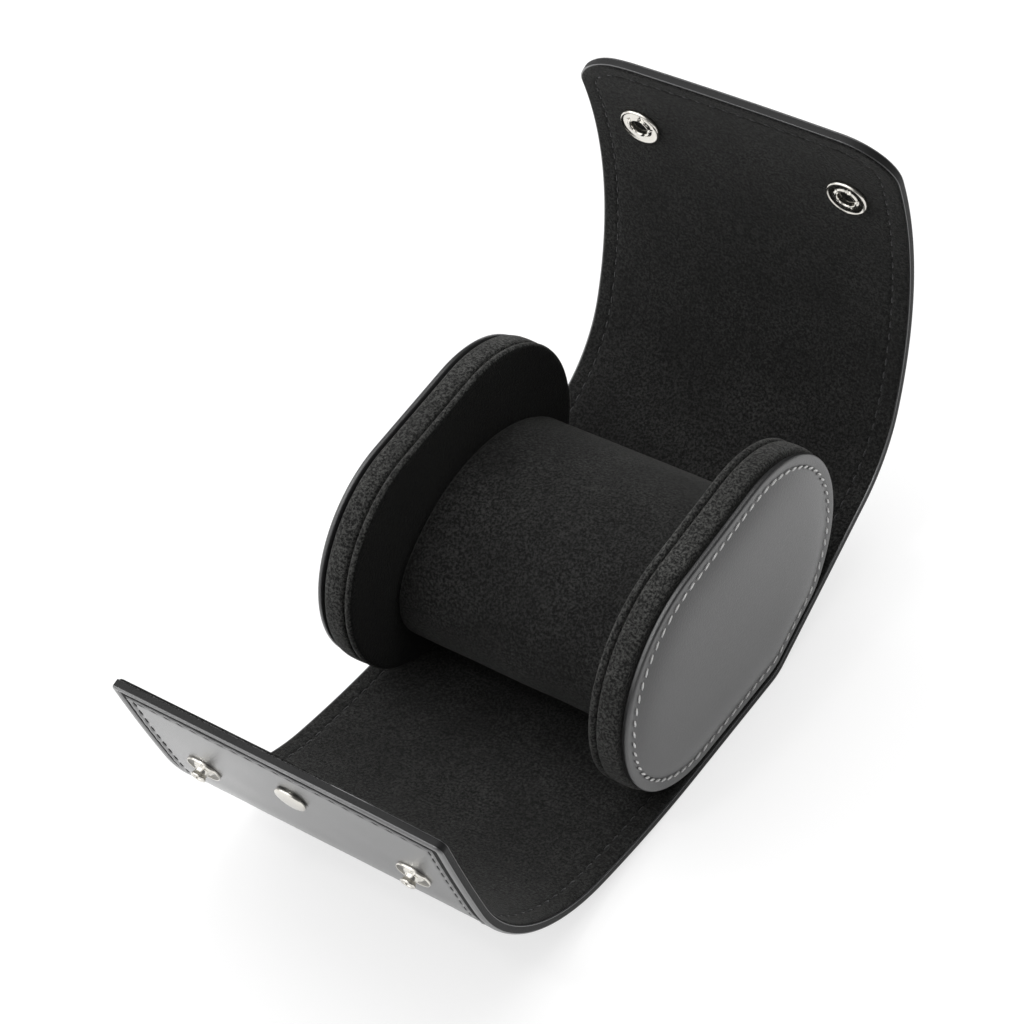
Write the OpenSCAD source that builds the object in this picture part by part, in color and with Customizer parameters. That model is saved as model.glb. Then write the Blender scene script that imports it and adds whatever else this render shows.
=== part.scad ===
// Roll for one watch: a stiffened leather wrap lined with suede, two padded
// leather cheeks that stand on it, an oval pillow that lies loose between
// them, and a front flap that two press studs fasten under the back flap.
// It is drawn open, as it stands on a table, in millimetres.
// X runs along the pillow, +Y towards the back flap and +Z up. The origin is
// on the flat underside, midway between the cheeks.

/* [Wrap] */
// Width of the wrap along the pillow
wrap_w = 90; // [87:0.5:96]
// Outer leather
leather_t = 1.1; // [0.9:0.1:1.3]
// Stiffening board between leather and lining
board_t = 0.8; // [0.6:0.1:1]
// Suede lining
lining_t = 0.6; // [0.5:0.1:0.8]
// Width of the leather turned over along the edges
rim_w = 1.1; // [0.9:0.1:1.5]
// Slit between two stiffened sections at a bend line
bend_slit = 0.7; // [0.5:0.1:0.9]

/* [Front flap] */
// Flat underside in front of the middle
front_flat_l = 20; // [16:0.5:24]
// Gently rising part of the front
front_rise_l = 42; // [38:0.5:46]
// Turn of the rising part in degrees
front_rise_turn = 9; // [7:0.5:11]
// Rolled-up part of the front
front_bend_l = 61; // [56:0.5:66]
// Turn of the rolled-up part in degrees
front_bend_turn = 63; // [58:0.5:68]
// Nearly flat end of the front flap
front_end_l = 35; // [33:0.5:40]
// Turn of the flap end in degrees
front_end_turn = 3; // [2:0.5:6]
// First bend line, measured round the outside from the middle
front_fold_1 = 28.5; // [26:0.5:30]
// Second bend line
front_fold_2 = 55; // [52:0.5:60]
// Third bend line
front_fold_3 = 99; // [96:0.5:104]
// Corner radius of the front flap
front_corner_r = 2; // [1.5:0.25:4]

/* [Back flap] */
// Flat underside behind the middle
back_flat_l = 15.5; // [14.5:0.5:17]
// Tight crease behind the flat underside
back_crease_l = 5.9; // [5.5:0.1:7]
// Turn of the crease in degrees
back_crease_turn = 28; // [26:0.5:30]
// Straight back panel above the crease
back_panel_l = 46; // [43:0.5:49]
// Bend above the back panel
back_bend_l = 26; // [24:0.5:28]
// Turn of that bend in degrees
back_bend_turn = 41; // [38:0.5:44]
// Curved end of the back flap
back_end_l = 89; // [86:0.5:94]
// Turn of the flap end in degrees
back_end_turn = 49; // [46:0.5:52]
// First bend line, measured round the outside from the middle
back_fold_1 = 51; // [50:0.5:54]
// Second bend line
back_fold_2 = 115; // [113:0.5:120]
// Corner radius of the back flap
back_corner_r = 11; // [7:0.5:13]

/* [Cheeks] */
// Radius of the cheek's front end
cheek_front_r = 33; // [31:0.5:34]
// Distance of the front end's centre in front of the middle
cheek_front_y = 15.5; // [14:0.5:17]
// Radius of the cheek's rear end
cheek_back_r = 34.5; // [33:0.5:35.5]
// Distance of the rear end's centre behind the middle
cheek_back_y = 12.8; // [12:0.2:14]
// How far the cheek's leather edge is set in from the side of the wrap
cheek_set_in = 1.2; // [1:0.1:2]
// Suede skin of the cheek
cheek_suede_t = 0.8; // [0.6:0.1:1]
// Welt along the inner edge, measured across
welt_w = 1.5; // [1.2:0.1:2]
// Seam between welt and side band
seam_w = 0.1; // [0.1:0.1:0.3]
// Dark groove between side band and leather panel
groove_w = 0.4; // [0.3:0.1:0.6]
// Board behind the leather panel
cheek_board_t = 1.1; // [0.8:0.1:1.5]
// How far that board is set in from the outline
cheek_board_inset = 1.2; // [1:0.1:2]
// Leather panel
panel_t = 1.1; // [0.9:0.1:1.3]
// Height of the panel's crown over its edge
crown_h = 1.5; // [1:0.1:1.8]

/* [Pillow] */
// Length of the pillow
pillow_l = 68; // [64:0.5:71]
// Longer diameter of the oval
pillow_a = 72; // [68:0.5:74]
// Shorter diameter of the oval
pillow_b = 49; // [46:0.5:51]
// Radius of the oval's rounded ends
pillow_end_r = 17; // [16:0.5:18]
// Suede cover
pillow_cover_t = 0.8; // [0.6:0.1:1]
// Room between the pillow's end and each cheek
pillow_side_gap = 0.3; // [0.3:0.1:0.6]
// Room under the pillow
pillow_rest_gap = 0.3; // [0.2:0.1:0.5]
// Room between the pillow and the back panel
pillow_back_gap = 1.5; // [1.2:0.1:2]

/* [Press studs] */
// Distance of each stud from the middle
snap_x = 29.5; // [26:0.5:31]
// Distance of the studs from the front flap's edge
stud_from_edge = 27.5; // [25:0.5:30]
// Radius of the stud's base
stud_r = 4.5; // [4.3:0.05:5.2]
// Height of the stud's base
stud_base_h = 1.0; // [0.8:0.1:1.1]
// Radius of the stud's head
stud_head_r = 2.0; // [1.8:0.1:2.1]
// Height of the stud's head over the leather
stud_head_h = 2.7; // [2.6:0.1:3.2]
// Radius of the eyelet that holds the stud from behind
eyelet_r = 4.6; // [4:0.1:5.5]
// Thickness of that eyelet's flange
eyelet_t = 0.6; // [0.4:0.1:0.8]
// Distance of the sockets from the back flap's edge
socket_from_edge = 25.5; // [23:0.5:27]
// Radius of the socket
socket_r = 5.6; // [5.2:0.1:6]
// Height of the socket over the lining
socket_h = 1.5; // [1.3:0.1:1.6]
// Radius of the socket's mouth
socket_hole_r = 2.35; // [2.3:0.05:2.5]
// Radius of the cap outside the back flap
cap_r = 6.0; // [5.5:0.1:7]
// Height of the cap's dome
cap_h = 1.8; // [1.4:0.1:2.2]
// Distance of the middle button from the front flap's edge
button_from_edge = 16; // [14:0.5:18]
// Radius of the middle button
button_r = 4.1; // [3.6:0.1:5]
// Thickness of the middle button
button_t = 1.2; // [0.8:0.1:1.3]
// Gap between the middle button and the leather
button_lift = 0.7; // [0.4:0.1:0.8]
// Radius of the rivet plate behind the middle button
rivet_r = 4.0; // [3:0.1:5]
// Thickness of that plate
rivet_t = 0.5; // [0.4:0.1:0.8]
// Room round a post in its hole
hole_gap = 0.05; // [0.05:0.05:0.15]

/* [Hidden] */

// Facets of the large rounds and of the metal parts.
fine = 180;
round_fn = 64;
wrap_t = leather_t + board_t + lining_t;
half_slit = bend_slit / 2;
// How far a cut runs past what it cuts.
reach = 1;
// Step along the bends in degrees, and the least distance between stations.
turn_step = 2;
near = 0.01;
// Steps round the cheek's outline in degrees.
outline_step = 2;
crown_step = 6;
// A rounded corner stops this far short of lying tangent to the edges.
corner_ease = 0.05;

// Each run of the wrap starts in the middle and is a list of [length, turn]
// along its outside.
front_run = [[front_flat_l, 0],
             [front_rise_l, front_rise_turn],
             [front_bend_l, front_bend_turn],
             [front_end_l, front_end_turn]];
back_run = [[back_flat_l, 0],
            [back_crease_l, back_crease_turn],
            [back_panel_l, 0],
            [back_bend_l, back_bend_turn],
            [back_end_l, back_end_turn]];
front_edge = front_flat_l + front_rise_l + front_bend_l + front_end_l;
back_edge = back_flat_l + back_crease_l + back_panel_l + back_bend_l + back_end_l;

// Step along one piece of a run: its length, its turn, the part of it that
// is walked and the heading at its start.
function arc_radius(length, turn) = length / (turn * PI / 180);
function step_to(length, turn, part, heading) =
    turn == 0
        ? part * [cos(heading), sin(heading)]
        : let (r = arc_radius(length, turn), h = heading + turn * part / length)
          r * [sin(h) - sin(heading), cos(heading) - cos(h)];

// Point and heading on the outside of a run, at a length from the middle.
function place_at(run, at, i = 0, p = [0, 0], heading = 0) =
    at <= run[i][0] || i == len(run) - 1
        ? [p + step_to(run[i][0], run[i][1], at, heading),
           heading + run[i][1] * at / run[i][0]]
        : place_at(run, at - run[i][0], i + 1,
                   p + step_to(run[i][0], run[i][1], run[i][0], heading),
                   heading + run[i][1]);

// Lengths at which a run is drawn: the ends of its pieces and even steps
// along each bend.
function stations(run, i = 0, start = 0) =
    i == len(run)
        ? [start]
        : let (steps = run[i][1] == 0 ? 1 : ceil(run[i][1] / turn_step))
          concat([for (k = [0:steps - 1]) start + run[i][0] * k / steps],
                 stations(run, i + 1, start + run[i][0]));

function between(from, to, values) =
    concat([from], [for (v = values) if (v > from + near && v < to - near) v], [to]);

// Point over a run's outside, at a length from the middle and a height.
function over(run, at, height) =
    let (p = place_at(run, at))
    p[0] + height * [-sin(p[1]), cos(p[1])];

// The same over both runs. Lengths in front of the middle are negative.
function over_wrap(at, height) =
    at < 0
        ? let (p = over(front_run, -at, height)) [-p[0], p[1]]
        : over(back_run, at, height);

all_stations = concat([for (v = stations(front_run)) if (v > 0) -v],
                      stations(back_run));
function reversed(list) = [for (i = [len(list) - 1:-1:0]) list[i]];
function sorted_stations(from, to) =
    between(from, to,
            concat(reversed([for (v = all_stations) if (v < 0) v]),
                   [for (v = all_stations) if (v >= 0) v]));

// Strip of the wrap through a list of lengths, between two heights over its
// outside.
module strip(at, low, high) {
    polygon(concat([for (v = at) over_wrap(v, low)],
                   [for (v = reversed(at)) over_wrap(v, high)]));
}

module across(width) {
    rotate([90, 0, 90])
        linear_extrude(height = width, center = true)
            children();
}

module at_front(length) {
    at = place_at(front_run, length);
    translate([0, -at[0][0], at[0][1]])
        rotate([-at[1], 0, 0])
            children();
}

module at_back(length) {
    at = place_at(back_run, length);
    translate([0, at[0][0], at[0][1]])
        rotate([at[1], 0, 0])
            children();
}

module both_sides(x) {
    for (side = [-1, 1])
        translate([side * x, 0, 0])
            children();
}

// What lies outside the two rounded corners of a flap that ends towards +Y.
// The origin is a corner radius inside the flap's edge.
module corner_waste(radius, inset) {
    depth = 6 * wrap_t;
    block = 2 * radius;
    for (side = [-1, 1])
        translate([side * (wrap_w / 2 - radius + corner_ease), -corner_ease, 0])
            difference() {
                translate([side < 0 ? -block : 0, 0, -depth / 2])
                    cube([block, block, depth]);
                cylinder(r = radius - inset, h = 2 * depth, center = true, $fn = round_fn);
            }
}

// One layer of a section of the wrap.
module layer(from, to, low, high, inset) {
    across(wrap_w - 2 * inset)
        strip(sorted_stations(from, to), low, high);
}

module front_tip_layer(low, high, inset) {
    difference() {
        layer(-front_edge + inset, front_tip_to, low, high, inset);
        at_front(front_edge - front_corner_r)
            mirror([0, 1, 0])
                corner_waste(front_corner_r, min(inset, front_corner_r - 0.1));
    }
}

module back_tip_layer(low, high, inset) {
    difference() {
        layer(back_tip_from, back_edge - inset, low, high, inset);
        at_back(back_edge - back_corner_r)
            corner_waste(back_corner_r, inset);
    }
}

// Room for board and lining. It runs past the section's ends, through the
// same stations as the board.
module pocket(from, to, before, after) {
    across(wrap_w - 2 * rim_w)
        strip(concat(before, sorted_stations(from, to), after), leather_t, wrap_t + reach);
}

// Leather of a section with its two turned-over edges.
module leather_tray(from, to) {
    difference() {
        layer(from, to, 0, wrap_t, 0);
        pocket(from, to, [from - reach], [to + reach]);
    }
}

module board_sheet(from, to) {
    layer(from, to, leather_t, leather_t + board_t, rim_w);
}

module lining_sheet(from, to) {
    layer(from, to, leather_t + board_t, wrap_t, rim_w);
}

base_from = -front_fold_1 + half_slit;
base_to = back_fold_1 - half_slit;
front_lower_from = -front_fold_2 + half_slit;
front_lower_to = -front_fold_1 - half_slit;
front_mid_from = -front_fold_3 + half_slit;
front_mid_to = -front_fold_2 - half_slit;
front_tip_to = -front_fold_3 - half_slit;
back_lower_from = back_fold_1 + half_slit;
back_lower_to = back_fold_2 - half_slit;
back_tip_from = back_fold_2 + half_slit;

// Posts of the studs and of the middle button, through the front flap.
stud_post_r = 1.9;
stud_bore_r = 1.1;
button_post_r = 1.6;
cap_post_r = 2.9;

module front_holes() {
    at_front(front_edge - stud_from_edge)
        both_sides(snap_x)
            cylinder(r = stud_post_r + hole_gap, h = 4 * wrap_t, center = true, $fn = round_fn);
    at_front(front_edge - button_from_edge)
        cylinder(r = button_post_r + hole_gap, h = 4 * wrap_t, center = true, $fn = round_fn);
}

module back_holes() {
    at_back(back_edge - socket_from_edge)
        both_sides(snap_x)
            cylinder(r = cap_post_r + hole_gap, h = 4 * wrap_t, center = true, $fn = round_fn);
}

// Where a flat flange is pressed into the curved lining.
module flange_seat(radius) {
    translate([0, 0, wrap_t])
        cylinder(r = radius + hole_gap, h = wrap_t, $fn = round_fn);
}

// Cheek outline: two rounds and the tangents between them.
cheek_front_c = [-cheek_front_y, wrap_t + cheek_front_r];
cheek_back_c = [cheek_back_y, wrap_t + cheek_back_r];
cheek_step = cheek_back_c - cheek_front_c;
cheek_lean = atan2(cheek_step[1], cheek_step[0]);
cheek_open = acos((cheek_front_r - cheek_back_r) / norm(cheek_step));

function round_points(centre, radius, from, to, step) =
    let (steps = ceil((to - from) / step))
    [for (k = [0:steps])
        let (a = cheek_lean + from + (to - from) * k / steps)
        centre + radius * [cos(a), sin(a)]];

module cheek_outline(inset, step = outline_step) {
    polygon(concat(
        round_points(cheek_back_c, cheek_back_r - inset, -cheek_open, cheek_open, step),
        round_points(cheek_front_c, cheek_front_r - inset, cheek_open, 360 - cheek_open, step)));
}

// The wrap's inside, which the cheeks stand on.
module seat() {
    at = sorted_stations(-front_fold_2, back_fold_2);
    front_end = over_wrap(-front_fold_2, wrap_t);
    back_end = over_wrap(back_fold_2, wrap_t);
    polygon(concat([for (v = at) over_wrap(v, wrap_t)],
                   [[back_end[0], -cheek_front_r], [front_end[0], -cheek_front_r]]));
}

module cheek_flat(inset) {
    difference() {
        cheek_outline(inset);
        seat();
    }
}

// Slab of the right cheek between two distances from the middle.
module cheek_slab(from, to, inset) {
    translate([(from + to) / 2, 0, 0])
        across(to - from)
            cheek_flat(inset);
}

module cheek_ring(from, to, depth) {
    translate([(from + to) / 2, 0, 0])
        across(to - from)
            difference() {
                cheek_outline(0);
                cheek_outline(depth);
                seat();
            }
}

cheek_in = pillow_l / 2 + pillow_side_gap;
cheek_edge = wrap_w / 2 - cheek_set_in;
panel_in = cheek_edge - panel_t;
board_in = panel_in - cheek_board_t;
band_in = cheek_in + welt_w + seam_w;
band_out = panel_in - groove_w;
core_in = cheek_in + cheek_suede_t;

// Levels of the crown: inset from the outline and part of the full height.
crown_levels = [[2.5, 0.4], [6, 0.73], [14, 1]];
pad_levels = [[4.5, 0.4], [8, 0.73], [15, 1]];
pad_inset = 2.5;
level_t = 0.1;

// Crowned slab: its foot between two distances from the middle, its outline
// inset there, and the levels above.
module crown(from, to, inset, base, levels) {
    hull() {
        translate([(from + to) / 2, 0, 0])
            across(to - from)
                cheek_outline(inset, crown_step);
        for (level = levels)
            translate([base + crown_h * level[1] - level_t / 2, 0, 0])
                across(level_t)
                    cheek_outline(level[0], crown_step);
    }
}

module below_cheek() {
    translate([cheek_edge, 0, 0])
        across(2 * cheek_front_r)
            seat();
}

module cheek_pad() {
    difference() {
        crown(panel_in, panel_in + level_t, pad_inset, panel_in, pad_levels);
        below_cheek();
    }
}

module cheek_leather() {
    difference() {
        crown(panel_in, cheek_edge, 0, cheek_edge, crown_levels);
        crown(panel_in - 1, panel_in + level_t, pad_inset, panel_in, pad_levels);
        below_cheek();
    }
}

module cheek_board() {
    cheek_slab(board_in, panel_in, cheek_board_inset);
}

module cheek_band() {
    cheek_ring(band_in, band_out, cheek_suede_t);
}

module cheek_core() {
    cheek_slab(core_in, board_in, cheek_suede_t);
}

module cheek_welt() {
    cheek_ring(cheek_in, cheek_in + welt_w, cheek_suede_t);
}

module cheek_suede() {
    cheek_slab(cheek_in, core_in, cheek_suede_t);
}

// Pillow section: an oval of four arcs.
pillow_h = pillow_b / 2;
end_c = pillow_a / 2 - pillow_end_r;
side_r = (end_c * end_c + pillow_h * pillow_h - pillow_end_r * pillow_end_r)
         / (2 * (pillow_h - pillow_end_r));
side_c = side_r - pillow_h;
join_y = end_c * side_r / (side_r - pillow_end_r);

// The pillow lies over the lining and in front of the back panel.
panel_at = place_at(back_run, back_flat_l + back_crease_l);
panel_turn = panel_at[1];
panel_foot = panel_at[0] + wrap_t * [-sin(panel_turn), cos(panel_turn)];
pillow_z = wrap_t + pillow_rest_gap + pillow_h;
pillow_y = panel_foot[0]
           - (pillow_back_gap + side_r - side_c * cos(panel_turn)
              - (pillow_z - panel_foot[1]) * cos(panel_turn)) / sin(panel_turn);

module oval(inset) {
    intersection() {
        translate([0, -side_c])
            circle(r = side_r - inset, $fn = fine);
        translate([0, side_c])
            circle(r = side_r - inset, $fn = fine);
        square([2 * join_y, 2 * pillow_h], center = true);
    }
    for (side = [-1, 1])
        translate([side * end_c, 0])
            circle(r = pillow_end_r - inset, $fn = fine);
}

module pillow_slab(from, to, inset) {
    translate([(from + to) / 2, pillow_y, pillow_z])
        across(to - from)
            oval(inset);
}

module pillow_cover() {
    difference() {
        pillow_slab(-pillow_l / 2, pillow_l / 2, 0);
        pillow_slab(-pillow_l / 2 - reach, pillow_l / 2 + reach, pillow_cover_t);
    }
}

module pillow_end(side) {
    outer = pillow_l / 2;
    inner = outer - pillow_cover_t;
    if (side > 0)
        pillow_slab(inner, outer, pillow_cover_t);
    else
        pillow_slab(-outer, -inner, pillow_cover_t);
}

module pillow_core() {
    inner = pillow_l / 2 - pillow_cover_t;
    pillow_slab(-inner, inner, pillow_cover_t);
}

// Stud: dished base, hollow head with a neck, and a post through the wrap.
module stud() {
    rim = 0.7;
    dish = stud_base_h - 0.4;
    rotate_extrude($fn = round_fn)
        polygon([[stud_bore_r, -wrap_t],
                 [stud_post_r, -wrap_t],
                 [stud_post_r, 0],
                 [stud_r, 0],
                 [stud_r, stud_base_h - 0.15],
                 [stud_r - 0.2, stud_base_h],
                 [stud_r - rim, stud_base_h],
                 [stud_r - rim - 0.4, dish],
                 [stud_head_r + 0.4, dish],
                 [stud_head_r - 0.25, dish + 0.3],
                 [stud_head_r - 0.25, stud_head_h - 0.9],
                 [stud_head_r, stud_head_h - 0.7],
                 [stud_head_r, stud_head_h - 0.25],
                 [stud_head_r - 0.3, stud_head_h],
                 [stud_bore_r, stud_head_h]]);
}

// Eyelet: a flange on the lining and a shank inside the stud.
module stud_eyelet() {
    shank_r = stud_bore_r - hole_gap;
    bore = shank_r - 0.4;
    rotate_extrude($fn = round_fn)
        polygon([[bore, -wrap_t - eyelet_t],
                 [eyelet_r - 0.3, -wrap_t - eyelet_t],
                 [eyelet_r, -wrap_t - eyelet_t + 0.3],
                 [eyelet_r, -wrap_t],
                 [shank_r, -wrap_t],
                 [shank_r, stud_head_h - 1],
                 [bore, stud_head_h - 1]]);
}

module front_outward() {
    rotate([180, 0, 0])
        children();
}

module studs() {
    at_front(front_edge - stud_from_edge)
        both_sides(snap_x)
            front_outward()
                stud();
}

module stud_eyelets() {
    at_front(front_edge - stud_from_edge)
        both_sides(snap_x)
            front_outward()
                stud_eyelet();
}

module middle_button() {
    top = button_lift + button_t;
    at_front(front_edge - button_from_edge)
        front_outward()
            rotate_extrude($fn = round_fn)
                polygon([[0, -wrap_t],
                         [button_post_r, -wrap_t],
                         [button_post_r, button_lift],
                         [button_r - 0.4, button_lift],
                         [button_r, button_lift + 0.3],
                         [button_r, top - 0.4],
                         [button_r - 0.4, top - 0.15],
                         [button_r / 2, top],
                         [0, top]]);
}

module middle_rivet() {
    at_front(front_edge - button_from_edge)
        front_outward()
            rotate_extrude($fn = round_fn)
                polygon([[0, -wrap_t - rivet_t],
                         [rivet_r - 0.3, -wrap_t - rivet_t],
                         [rivet_r, -wrap_t - rivet_t + 0.2],
                         [rivet_r, -wrap_t],
                         [0, -wrap_t]]);
}

// Socket on the lining; its local origin is on the outside of the flap.
module socket() {
    top = wrap_t + socket_h;
    rotate_extrude($fn = round_fn)
        polygon([[socket_hole_r, wrap_t],
                 [socket_r, wrap_t],
                 [socket_r, top - 0.5],
                 [socket_r - 0.5, top],
                 [socket_hole_r + 0.65, top],
                 [socket_hole_r + 0.25, top - 0.3],
                 [socket_hole_r, top - 0.3]]);
}

module socket_cap() {
    post_bore_r = socket_hole_r - 0.05;
    floor_t = 0.6;
    rotate_extrude($fn = round_fn)
        polygon([[0, -cap_h],
                 [cap_r * 0.5, -cap_h + 0.2],
                 [cap_r * 0.83, -cap_h * 0.6],
                 [cap_r, -cap_h * 0.2],
                 [cap_r, 0],
                 [cap_post_r, 0],
                 [cap_post_r, wrap_t],
                 [post_bore_r, wrap_t],
                 [post_bore_r, -floor_t],
                 [0, -floor_t]]);
}

module sockets() {
    at_back(back_edge - socket_from_edge)
        both_sides(snap_x)
            socket();
}

module socket_caps() {
    at_back(back_edge - socket_from_edge)
        both_sides(snap_x)
            socket_cap();
}

module left() {
    mirror([1, 0, 0])
        children();
}

leather_tone = [0.16, 0.16, 0.17];
board_tone = [0.62, 0.5, 0.36];
suede_tone = [0.1, 0.1, 0.11];
foam_tone = [0.85, 0.83, 0.75];
metal_tone = [0.78, 0.77, 0.74];

module base_leather() { color(leather_tone) leather_tray(base_from, base_to); }
module base_board() { color(board_tone) board_sheet(base_from, base_to); }
module base_lining() { color(suede_tone) lining_sheet(base_from, base_to); }

module front_lower_leather() { color(leather_tone) leather_tray(front_lower_from, front_lower_to); }
module front_lower_board() { color(board_tone) board_sheet(front_lower_from, front_lower_to); }
module front_lower_lining() { color(suede_tone) lining_sheet(front_lower_from, front_lower_to); }

module front_mid_leather() { color(leather_tone) leather_tray(front_mid_from, front_mid_to); }
module front_mid_board() { color(board_tone) board_sheet(front_mid_from, front_mid_to); }
module front_mid_lining() { color(suede_tone) lining_sheet(front_mid_from, front_mid_to); }

module back_lower_leather() { color(leather_tone) leather_tray(back_lower_from, back_lower_to); }
module back_lower_board() { color(board_tone) board_sheet(back_lower_from, back_lower_to); }
module back_lower_lining() { color(suede_tone) lining_sheet(back_lower_from, back_lower_to); }

module front_tip_leather() {
    color(leather_tone)
        difference() {
            front_tip_layer(0, wrap_t, 0);
            front_tip_pocket();
            front_holes();
        }
}

// Room for board and lining, open at the bend line.
module front_tip_pocket() {
    difference() {
        pocket(-front_edge + rim_w, front_tip_to, [], [front_tip_to + reach]);
        at_front(front_edge - front_corner_r)
            mirror([0, 1, 0])
                corner_waste(front_corner_r, rim_w);
    }
}

module front_tip_board() {
    color(board_tone)
        difference() {
            front_tip_layer(leather_t, leather_t + board_t, rim_w);
            front_holes();
        }
}

module front_tip_lining() {
    color(suede_tone)
        difference() {
            front_tip_layer(leather_t + board_t, wrap_t, rim_w);
            front_holes();
            at_front(front_edge - stud_from_edge)
                both_sides(snap_x)
                    flange_seat(eyelet_r);
            at_front(front_edge - button_from_edge)
                flange_seat(rivet_r);
        }
}

module back_tip_leather() {
    color(leather_tone)
        difference() {
            back_tip_layer(0, wrap_t, 0);
            back_tip_pocket();
            back_holes();
        }
}

module back_tip_pocket() {
    difference() {
        pocket(back_tip_from, back_edge - rim_w, [back_tip_from - reach], []);
        at_back(back_edge - back_corner_r)
            corner_waste(back_corner_r, rim_w);
    }
}

module back_tip_board() {
    color(board_tone)
        difference() {
            back_tip_layer(leather_t, leather_t + board_t, rim_w);
            back_holes();
        }
}

module back_tip_lining() {
    color(suede_tone)
        difference() {
            back_tip_layer(leather_t + board_t, wrap_t, rim_w);
            back_holes();
            at_back(back_edge - socket_from_edge)
                both_sides(snap_x)
                    flange_seat(socket_r);
        }
}

module right_cheek_leather() { color(leather_tone) cheek_leather(); }
module right_cheek_pad() { color(foam_tone) cheek_pad(); }
module right_cheek_board() { color(board_tone) cheek_board(); }
module right_cheek_band() { color(suede_tone) cheek_band(); }
module right_cheek_core() { color(foam_tone) cheek_core(); }
module right_cheek_welt() { color(suede_tone) cheek_welt(); }
module right_cheek_suede() { color(suede_tone) cheek_suede(); }

module left_cheek_leather() { color(leather_tone) left() cheek_leather(); }
module left_cheek_pad() { color(foam_tone) left() cheek_pad(); }
module left_cheek_board() { color(board_tone) left() cheek_board(); }
module left_cheek_band() { color(suede_tone) left() cheek_band(); }
module left_cheek_core() { color(foam_tone) left() cheek_core(); }
module left_cheek_welt() { color(suede_tone) left() cheek_welt(); }
module left_cheek_suede() { color(suede_tone) left() cheek_suede(); }

base_leather();
base_board();
base_lining();
front_lower_leather();
front_lower_board();
front_lower_lining();
front_mid_leather();
front_mid_board();
front_mid_lining();
front_tip_leather();
front_tip_board();
front_tip_lining();
back_lower_leather();
back_lower_board();
back_lower_lining();
back_tip_leather();
back_tip_board();
back_tip_lining();
left_cheek_leather();
left_cheek_pad();
left_cheek_board();
left_cheek_band();
left_cheek_core();
left_cheek_welt();
left_cheek_suede();
right_cheek_leather();
right_cheek_pad();
right_cheek_board();
right_cheek_band();
right_cheek_core();
right_cheek_welt();
right_cheek_suede();
color(suede_tone) pillow_cover();
color(suede_tone) pillow_end(-1);  // pillow_left_end
color(suede_tone) pillow_end(1);  // pillow_right_end
color(foam_tone) pillow_core();
color(metal_tone) studs();
color(metal_tone) stud_eyelets();
color(metal_tone) sockets();
color(metal_tone) socket_caps();
color(metal_tone) middle_button();
color(metal_tone) middle_rivet();
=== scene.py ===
# %% [markdown]
# # A roll for one watch
# The real object is a stiff leather wrap lined with suede. Two padded cheeks
# stand on it, a suede pillow lies between them, and a front flap is snapped
# under the back flap. Every piece here is built round the solids of the
# construction model, which are loaded first and set the size of everything.

# %% Load the construction model
import math

import bmesh
import bpy
from mathutils import Matrix, Vector, noise


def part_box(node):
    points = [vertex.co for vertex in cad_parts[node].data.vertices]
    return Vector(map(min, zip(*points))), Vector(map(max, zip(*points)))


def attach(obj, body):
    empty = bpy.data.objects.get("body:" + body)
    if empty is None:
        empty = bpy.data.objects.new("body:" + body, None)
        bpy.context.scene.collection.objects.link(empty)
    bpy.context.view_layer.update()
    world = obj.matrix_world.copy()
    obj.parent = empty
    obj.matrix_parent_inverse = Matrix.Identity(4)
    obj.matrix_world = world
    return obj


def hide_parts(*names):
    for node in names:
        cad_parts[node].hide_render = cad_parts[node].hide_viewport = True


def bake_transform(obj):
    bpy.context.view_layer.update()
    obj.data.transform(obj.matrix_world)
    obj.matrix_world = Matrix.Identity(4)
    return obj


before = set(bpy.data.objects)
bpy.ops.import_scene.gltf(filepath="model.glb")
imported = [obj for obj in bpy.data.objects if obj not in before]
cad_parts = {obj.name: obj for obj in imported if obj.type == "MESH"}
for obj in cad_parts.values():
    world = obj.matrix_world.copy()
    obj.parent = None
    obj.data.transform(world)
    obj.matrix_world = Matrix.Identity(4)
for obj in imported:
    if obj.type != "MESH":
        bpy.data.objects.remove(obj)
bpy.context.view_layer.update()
MM = 0.001

# %% [markdown]
# ## Camera
# The camera comes from a fit to the outlines of the object: a long lens, from
# the right and above, with a little roll. Its three directions are written as
# rows, and a lens of so many pixels is turned into millimetres of a 36 mm
# sensor on a picture 1024 pixels wide.

# %% Camera
CAMERA_PLACE = Vector((0.304167, -0.398521, 0.544857))
CAMERA_RIGHT = Vector((0.820725, 0.565641, -0.080378))
CAMERA_UP = Vector((-0.351441, 0.610756, 0.709554))
CAMERA_BACK = Vector((0.450444, -0.5541, 0.700052))
PICTURE_PX = 1024
FOCAL_PX = 2906.06
SENSOR_MM = 36.0

lens = bpy.data.cameras.new("camera")
lens.sensor_width = SENSOR_MM
lens.lens = FOCAL_PX / PICTURE_PX * SENSOR_MM
lens.clip_end = 20.0
camera = bpy.data.objects.new("camera", lens)
turn = Matrix((CAMERA_RIGHT, CAMERA_UP, CAMERA_BACK)).transposed()
camera.matrix_world = Matrix.Translation(CAMERA_PLACE) @ turn.to_4x4()
bpy.context.scene.collection.objects.link(camera)
bpy.context.scene.camera = camera
print("lens, mm:", round(lens.lens, 1))

# %% [markdown]
# ## The line of the wrap
# Seen from the side the wrap is one line: straights and bends, one after the
# other, forwards and backwards from the middle. A place on it is a length
# round the outside (negative towards the front) and a height over it. The
# lengths and turns are those of the construction model.

# %% The line of the wrap
WRAP_HALF = 45.0
WRAP_T = 2.5
FRONT_RUN = [(20.0, 0.0), (42.0, 9.0), (61.0, 63.0), (35.0, 3.0)]
BACK_RUN = [(15.5, 0.0), (5.9, 28.0), (46.0, 0.0), (26.0, 41.0), (89.0, 49.0)]
FRONT_EDGE = sum(length for length, _ in FRONT_RUN)
BACK_EDGE = sum(length for length, _ in BACK_RUN)


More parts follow.
